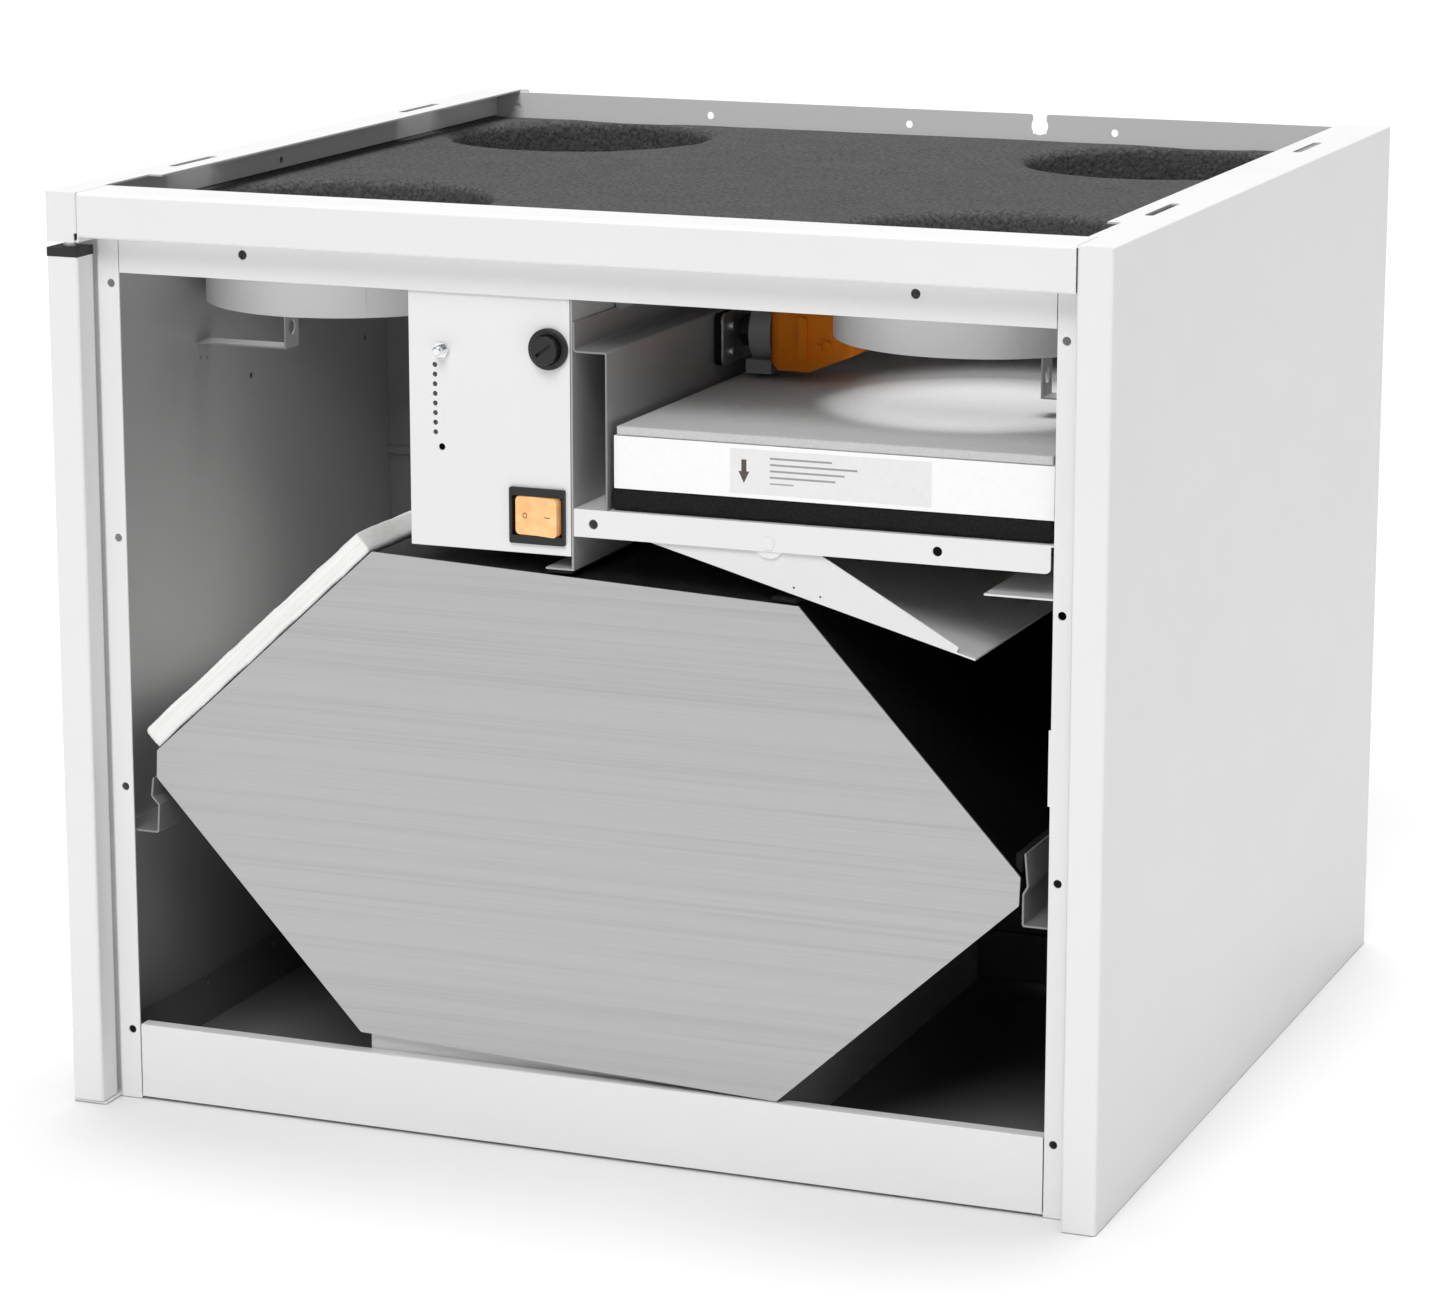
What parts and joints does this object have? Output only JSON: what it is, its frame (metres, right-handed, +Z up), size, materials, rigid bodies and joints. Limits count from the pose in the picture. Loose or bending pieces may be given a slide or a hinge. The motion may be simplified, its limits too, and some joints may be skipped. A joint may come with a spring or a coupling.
{
  "type": "heat recovery unit",
  "caption": "Cabinet-mounted heat recovery ventilation unit shown open, with counterflow exchanger, filters, bypass flap, fans and top duct collars.",
  "frame": {"origin": "centre of the cabinet's bottom face", "axes": "+X to the right of someone facing the open front, +Y towards the back, +Z up"},
  "size_m": [0.598, 0.574, 0.512],
  "materials": {
    "white_panel": "smooth white powder coat",
    "white_inner_sheet": "satin white coated sheet",
    "dark_foam": "dark grey closed-cell foam",
    "black_seal": "black cellular rubber",
    "brushed_aluminium": "brushed, horizontal grain",
    "zinc_steel": "bright zinc plated",
    "black_plastic": "black moulded plastic",
    "black_plate_stack": "black fine-edged plates",
    "orange_plastic": "orange moulded plastic",
    "grey_plastic": "grey moulded plastic",
    "white_card": "white coated card",
    "white_fibre": "white filter fibre",
    "orange_lens": "translucent orange, lit",
    "green_lens": "dark green lens",
    "chrome_steel": "bright chrome",
    "green_board": "solder-masked board"
  },
  "bodies": {
    "cabinet": {"actuator_body": "orange_plastic", "actuator_clamp": "grey_plastic", "actuator_gasket": "black_seal", "actuator_plate": "zinc_steel", "actuator_screws": "zinc_steel", "bottom_pan": "white_panel", "cable_grommets": "grey_plastic", "centre_divider": "white_inner_sheet", "condensate_tray": "white_inner_sheet", "control_board": "green_board", "divider_seal": "black_seal", "door_switch_bush": "chrome_steel", "electronics_box": "white_panel", "exchanger_rail_left": "white_inner_sheet", "exchanger_rail_right": "white_inner_sheet", "exchanger_support": "white_inner_sheet", "exhaust_air_collar": "white_inner_sheet", "exhaust_fan_housing": "zinc_steel", "extract_air_collar": "white_inner_sheet", "fan_motors": "zinc_steel", "filter_gasket": "black_seal", "filter_guide": "white_inner_sheet", "filter_shelf": "white_panel", "flap_pivots": "white_panel", "flap_seat": "white_inner_sheet", "front_top_rail": "white_panel", "fuse_holder": "black_plastic", "hinge_pins": "zinc_steel", "indicator_leds": "green_lens", "left_side_panel": "white_panel", "outdoor_air_collar": "white_inner_sheet", "rear_divider": "white_inner_sheet", "rear_panel": "white_panel", "rear_partition": "white_inner_sheet", "right_side_panel": "white_panel", "rocker_bezel": "black_plastic", "roof_insulation": "dark_foam", "roof_plate": "white_inner_sheet", "sensor_brackets": "white_inner_sheet", "side_insulation": "dark_foam", "side_liners": "white_inner_sheet", "supply_air_collar": "white_inner_sheet", "supply_fan_housing": "zinc_steel"},
    "hinge_post": {"hinge_post": "white_panel", "hinge_bushes": "black_plastic"},
    "exchanger": {"exchanger_end_plates": "brushed_aluminium", "exchanger_core": "black_plate_stack", "exchanger_closing_plates": "black_plastic", "exchanger_seals": "black_seal"},
    "extract_filter": {"extract_filter": "white_fibre"},
    "supply_filter": {"supply_filter_frame": "white_card", "supply_filter_media": "white_fibre", "prefilter_mat": "white_fibre"},
    "bypass_flap": {"bypass_flap": "white_inner_sheet"},
    "actuator_shaft": {"actuator_shaft": "black_plastic"},
    "fuse_cap": {"fuse_cap": "black_plastic"},
    "door_switch_plunger": {"door_switch_plunger": "chrome_steel"},
    "rocker_switch": {"rocker_switch": "orange_lens"},
    "supply_impeller": {"supply_impeller": "black_plastic"},
    "exhaust_impeller": {"exhaust_impeller": "black_plastic"}
  },
  "joints": [
    {"name": "hinge_post_turn", "type": "hinge", "parent": "cabinet", "child": "hinge_post", "pos_m": [-0.2895, -0.278, 0.24], "axis": [0, 0, 1], "range_deg": [-110, 0]},
    {"name": "exchanger_slide", "type": "slide", "parent": "cabinet", "child": "exchanger", "axis": [0, -1, 0], "range_m": [0, 0.4]},
    {"name": "extract_filter_slide", "type": "slide", "parent": "exchanger", "child": "extract_filter", "axis": [0, -1, 0], "range_m": [0, 0.38]},
    {"name": "supply_filter_slide", "type": "slide", "parent": "cabinet", "child": "supply_filter", "axis": [0, -1, 0], "range_m": [0, 0.38]},
    {"name": "bypass_flap_turn", "type": "hinge", "parent": "cabinet", "child": "bypass_flap", "pos_m": [0.1102, -0.087, 0.3461], "axis": [0, -1, 0], "range_deg": [0, 16]},
    {"name": "actuator_shaft_turn", "type": "hinge", "parent": "cabinet", "child": "actuator_shaft", "pos_m": [0.02, -0.087, 0.427], "axis": [1, 0, 0], "range_deg": [0, 64]},
    {"name": "fuse_cap_turn", "type": "hinge", "parent": "cabinet", "child": "fuse_cap", "pos_m": [-0.0127, -0.273, 0.4404], "axis": [0, 1, 0], "range_deg": [0, 90]},
    {"name": "door_switch_press", "type": "slide", "parent": "cabinet", "child": "door_switch_plunger", "axis": [0, 1, 0], "range_m": [0, 0.004], "stiffness_N_per_m": 400},
    {"name": "rocker_switch_rock", "type": "hinge", "parent": "cabinet", "child": "rocker_switch", "pos_m": [-0.0197, -0.263, 0.351], "axis": [0, 0, 1], "range_deg": [0, 12]},
    {"name": "supply_impeller_spin", "type": "hinge", "parent": "cabinet", "child": "supply_impeller", "pos_m": [-0.189, 0.143, 0.112], "axis": [0, 1, 0], "continuous": true},
    {"name": "exhaust_impeller_spin", "type": "hinge", "parent": "cabinet", "child": "exhaust_impeller", "pos_m": [0.189, 0.143, 0.112], "axis": [0, 1, 0], "continuous": true}
  ],
  "couplings": [
    {"joint": "actuator_shaft_turn", "follows": "bypass_flap_turn", "ratio": 4}
  ]
}
